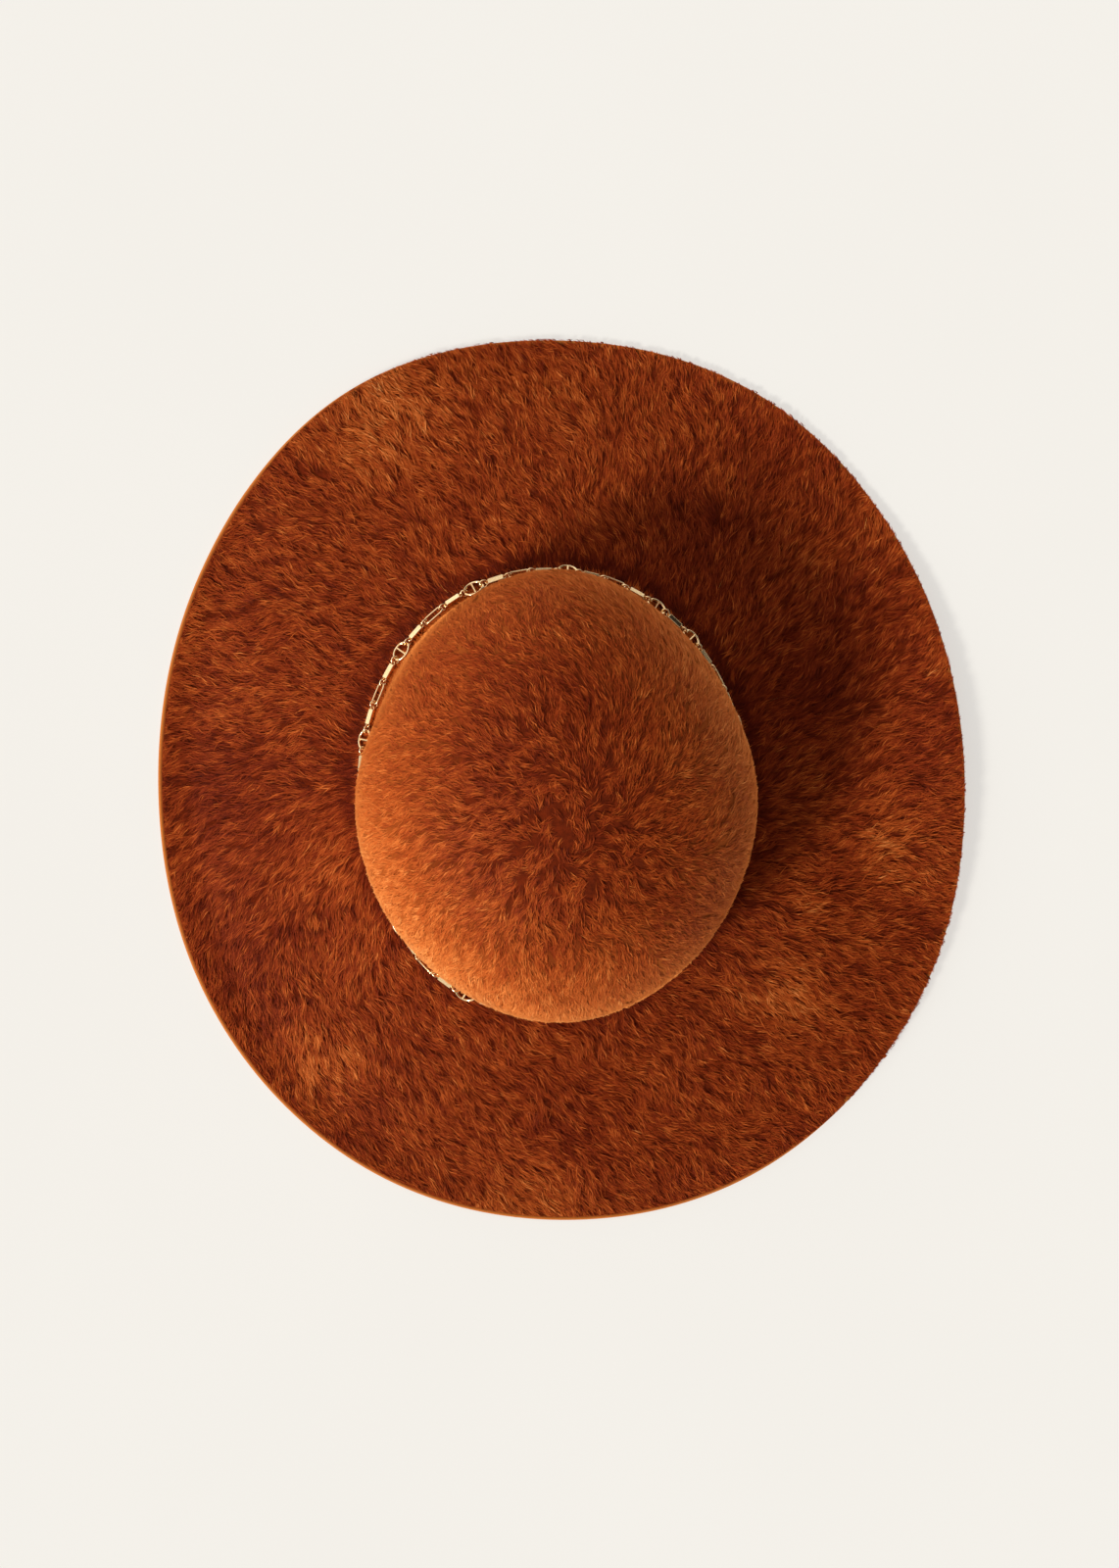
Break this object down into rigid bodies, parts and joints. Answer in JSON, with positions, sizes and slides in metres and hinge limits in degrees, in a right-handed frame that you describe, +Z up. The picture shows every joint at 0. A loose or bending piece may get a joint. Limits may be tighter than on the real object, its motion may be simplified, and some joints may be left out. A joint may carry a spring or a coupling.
{
  "type": "wide-brimmed felt hat",
  "caption": "Round-crowned hat of long-haired fur felt with a wide wavy brim and a gold chain laid round the foot of the crown.",
  "frame": {"origin": "on the surface that the brim rests on, under the middle of the brim's outline", "axes": "+Z up out of the crown, +Y along the length of the head, +X across it"},
  "size_m": [0.36, 0.394, 0.1266],
  "materials": {
    "felt": "long-haired fur felt, brushed nap, russet brown",
    "chain": "polished pale gold plate"
  },
  "bodies": {
    "root": {"felt_body": "felt", "chain_band": "chain"}
  },
  "joints": []
}
